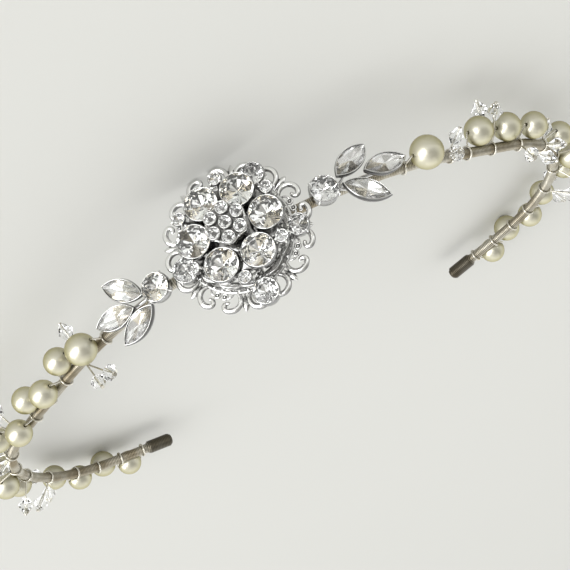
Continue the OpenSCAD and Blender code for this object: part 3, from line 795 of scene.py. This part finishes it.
for i, place in enumerate(ring_places(main_ring_r, main_top, main_turn, 11)):
    stone_piece(f"main_cut_{i + 1}", [(round_cut(main_d), place)], f"main_stone_{i + 1}")
for i, (turn, r, d) in enumerate(rim_stones):
    place = spun_to(on_brooch, *spot(r, turn, rim_top - rim_drop), turn)
    stone_piece(f"rim_cut_{i + 1}", [(round_cut(d), place)], f"rim_stone_{i + 1}", WHITE)
gap_places = ring_places(gap_ring_r, gap_top, gap_turn)
stone_piece("gap_cuts", [(round_cut(gap_d), place) for place in gap_places], "gap_stones", WHITE)
flower_places = [spun_to(on_brooch, 0, 0, flower_top - rim_drop, 8),
                 *ring_places(flower_ring_r, flower_top, flower_turn)]
stone_piece("flower_cuts", [(round_cut(flower_d), place) for place in flower_places],
            "flower_stones", WHITE)


# ---------------------------------------------------------------- leaf sprays
def navette_rows(steps):
    """Walls of a pointed cup: the stone's outline at each pair of added half width and height."""
    around = 64
    angle = np.arange(around) * 360 / around
    grown = lambda add: navette_outline(navette_l + 3.2 * add, navette_w + 2 * add)(angle)
    return np.stack([at_height(grown(add), z) for add, z in steps])


def leaf_frames(side):
    """Frames of the three pointed stones on one side, turned the other way on the left."""
    hand = SIDES[side]
    for s, shift, turn in navettes[side]:
        yield spun_to(on_band(hand * s), 0, shift, leaf_lift, turn if hand > 0 else 180 - turn)


def leaf_round_frame(side, z):
    """Frame of one side's round stone or cup, at a height above the cup's rim."""
    return spun_to(on_band(SIDES[side] * leaf_round_at[side]), z=leaf_lift + 0.2 + z)


def leaf_metal(side):
    """One spray's metal: three pointed cups, a round one with claws, a stem along the band, and a
    straight twig from the stem to each pointed cup."""
    form, hand = Form(), SIDES[side]
    gap, wall, deep = stone_gap, stone_gap + cup_wall, -navette_depth
    steps = [(-1.5, deep + 0.3), (gap - 0.25, deep + 0.3), (gap, deep + 0.45), (gap, -0.05),
             (gap - 0.08, 0.14), (gap - 0.03, 0.22), (gap + 0.08, 0.22), (gap + 0.16, 0.0),
             (wall - 0.02, -0.3), (wall - 0.3, deep + 0.1), (wall - 0.45, deep), (-1.5, deep)]
    # Painted light on each pointed cup: a painted highlight on the lip, painted shade inside and
    # on the outer wall
    tones = np.array([0.3, 0.3, 0.3, 0.5, 0.9, 0.95, 0.4, 0.1, 0.08, 0.6, 0.75])[:, None]
    for place in leaf_frames(side):
        form.skin(place(navette_rows(steps)), tone=tones)

    place = leaf_round_frame(side, 0)
    cup = lathe(cup_profile(leaf_round_d, cup_h(leaf_round_d), 0.3, 0.88), 48)
    form.skin(place(cup), tone=painted_cup_shading(0.34))
    edge = leaf_round_d / 2 + wall
    for j in range(claws):
        out = spot(1, (j + 0.5) * 360 / claws)
        line = [out * edge + [0, 0, -1.2], out * (edge + 0.06) + [0, 0, -0.2],
                out * (edge - 0.3) + [0, 0, 0.38]]
        form.skin(place(tube(line, [0.2, 0.24, 0.2], 8)))

    stem_lift = band_d / 2 + 0.1 + 0.4
    s = hand * np.linspace(leaf_round_at[side] - 3, navettes[side][2][0] + 3.4, 24)
    form.skin(lying(tube(beside(s, 0, stem_lift), 0.4, 12, UP)), tone=0.7)
    for at, shift, _ in navettes[side]:
        back = 0.5 if abs(shift) < 1 else 5.5
        root = beside(hand * (at - back), 0, stem_lift)
        end = beside(hand * (at + 0.5), shift, leaf_lift - navette_depth - 0.1)
        form.skin(lying(tube(np.linspace(root, end, 6), 0.33, 10)), tone=0.7)
    form.finish(f"leaf_metal_{side}", [silver], "silver", [f"leaf_setting_{side}"])


for side, hand in SIDES.items():
    leaf_metal(side)
    place = leaf_round_frame(side, -rim_drop)
    # The left round stone's whiter foil is painted light on that side
    stone_piece(f"leaf_round_cut_{side}", [(round_cut(leaf_round_d), place)],
                f"leaf_round_{side}", PLAIN if hand > 0 else WHITE)
    # White foil on the far half of each pointed stone is a painted highlight
    for i, place in enumerate(leaf_frames(side)):
        stone_piece(f"navette_cut_{side}_{i + 1}", [(navette_cut(), spun_to(place, z=-rim_drop))],
                    f"navette_{side}_{i + 1}", OLIVE, WHITE, leaf_stone)


# ---------------------------------------------------------------- carried-over nodes
for name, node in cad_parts.items():
    for start, look in (("pearl_", pearl), ("crystals_", crystal), ("bead_wire_", wire)):
        if name.startswith(start):
            node.material_slots[0].material = look


# ---------------------------------------------------------------- floor, lights and surroundings
def floor():
    """Wide pale square at z = 0, faintly clouded."""
    half = 6.0
    corners = [(-half, -half, 0), (half, -half, 0), (half, half, 0), (-half, half, 0)]
    mesh = bpy.data.meshes.new("floor")
    mesh.from_pydata(corners, [], [(0, 1, 2, 3)])
    f = Finish("pale floor", roughness=0.8)
    pale = f.mix(f.noise(6, 1), (0.635, 0.635, 0.61), (0.615, 0.615, 0.59))
    mesh.materials.append(f.feed(base_color=pale))
    plane = bpy.data.objects.new("floor", mesh)
    bpy.context.collection.objects.link(plane)


def softbox(name, at, size, watts):
    """Rectangular light in metres and watts, whose -Z axis points at the headband's middle."""
    light = bpy.data.lights.new(name, "AREA")
    light.shape, light.size, light.size_y = "RECTANGLE", *size
    light.energy = watts
    box = bpy.data.objects.new(name, light)
    middle = (0, -0.03, 0.01)
    z = np.subtract(at, middle)
    z /= np.linalg.norm(z)
    x = np.cross(UP, z)
    x /= np.linalg.norm(x)
    turn = Matrix((x, np.cross(z, x), z)).transposed().to_4x4()
    box.matrix_world = Matrix.Translation(at) @ turn
    bpy.context.collection.objects.link(box)


def surroundings():
    """Bright all round at the horizon and behind, with a darker warm ceiling above the camera: the
    colour goes by the dot product of the direction looked in and the ceiling's."""
    world = bpy.data.worlds.new("studio")
    bpy.context.scene.world = world
    world.use_nodes = True
    tree = world.node_tree
    place = tree.nodes.new("ShaderNodeTexCoord")
    dot = tree.nodes.new("ShaderNodeVectorMath")
    dot.operation = "DOT_PRODUCT"
    ceiling = np.array([-0.15, -0.40, 0.90])
    dot.inputs[1].default_value = ceiling / np.linalg.norm(ceiling)
    tree.links.new(place.outputs["Generated"], dot.inputs[0])
    ramp = tree.nodes.new("ShaderNodeValToRGB")
    set_stops(ramp.color_ramp, [(0.0, (0.95, 0.955, 0.95)), (0.45, (0.88, 0.885, 0.875)),
                                (0.68, (0.54, 0.54, 0.515)), (0.84, (0.27, 0.265, 0.245))])
    tree.links.new(dot.outputs["Value"], ramp.inputs["Fac"])
    background = tree.nodes["Background"]
    tree.links.new(ramp.outputs["Color"], background.inputs["Color"])
    background.inputs["Strength"].default_value = 1.35


floor()
surroundings()
softbox("window", (1.80, -1.61, 0.53), (3.8, 2.2), 100.0)
softbox("high window", (0.50, -0.62, 0.90), (1.0, 0.9), 1.0)
softbox("overhead", (0.1, 0.3, 1.1), (1.3, 1.1), 2.6)
bpy.context.scene.view_settings.view_transform = "Standard"
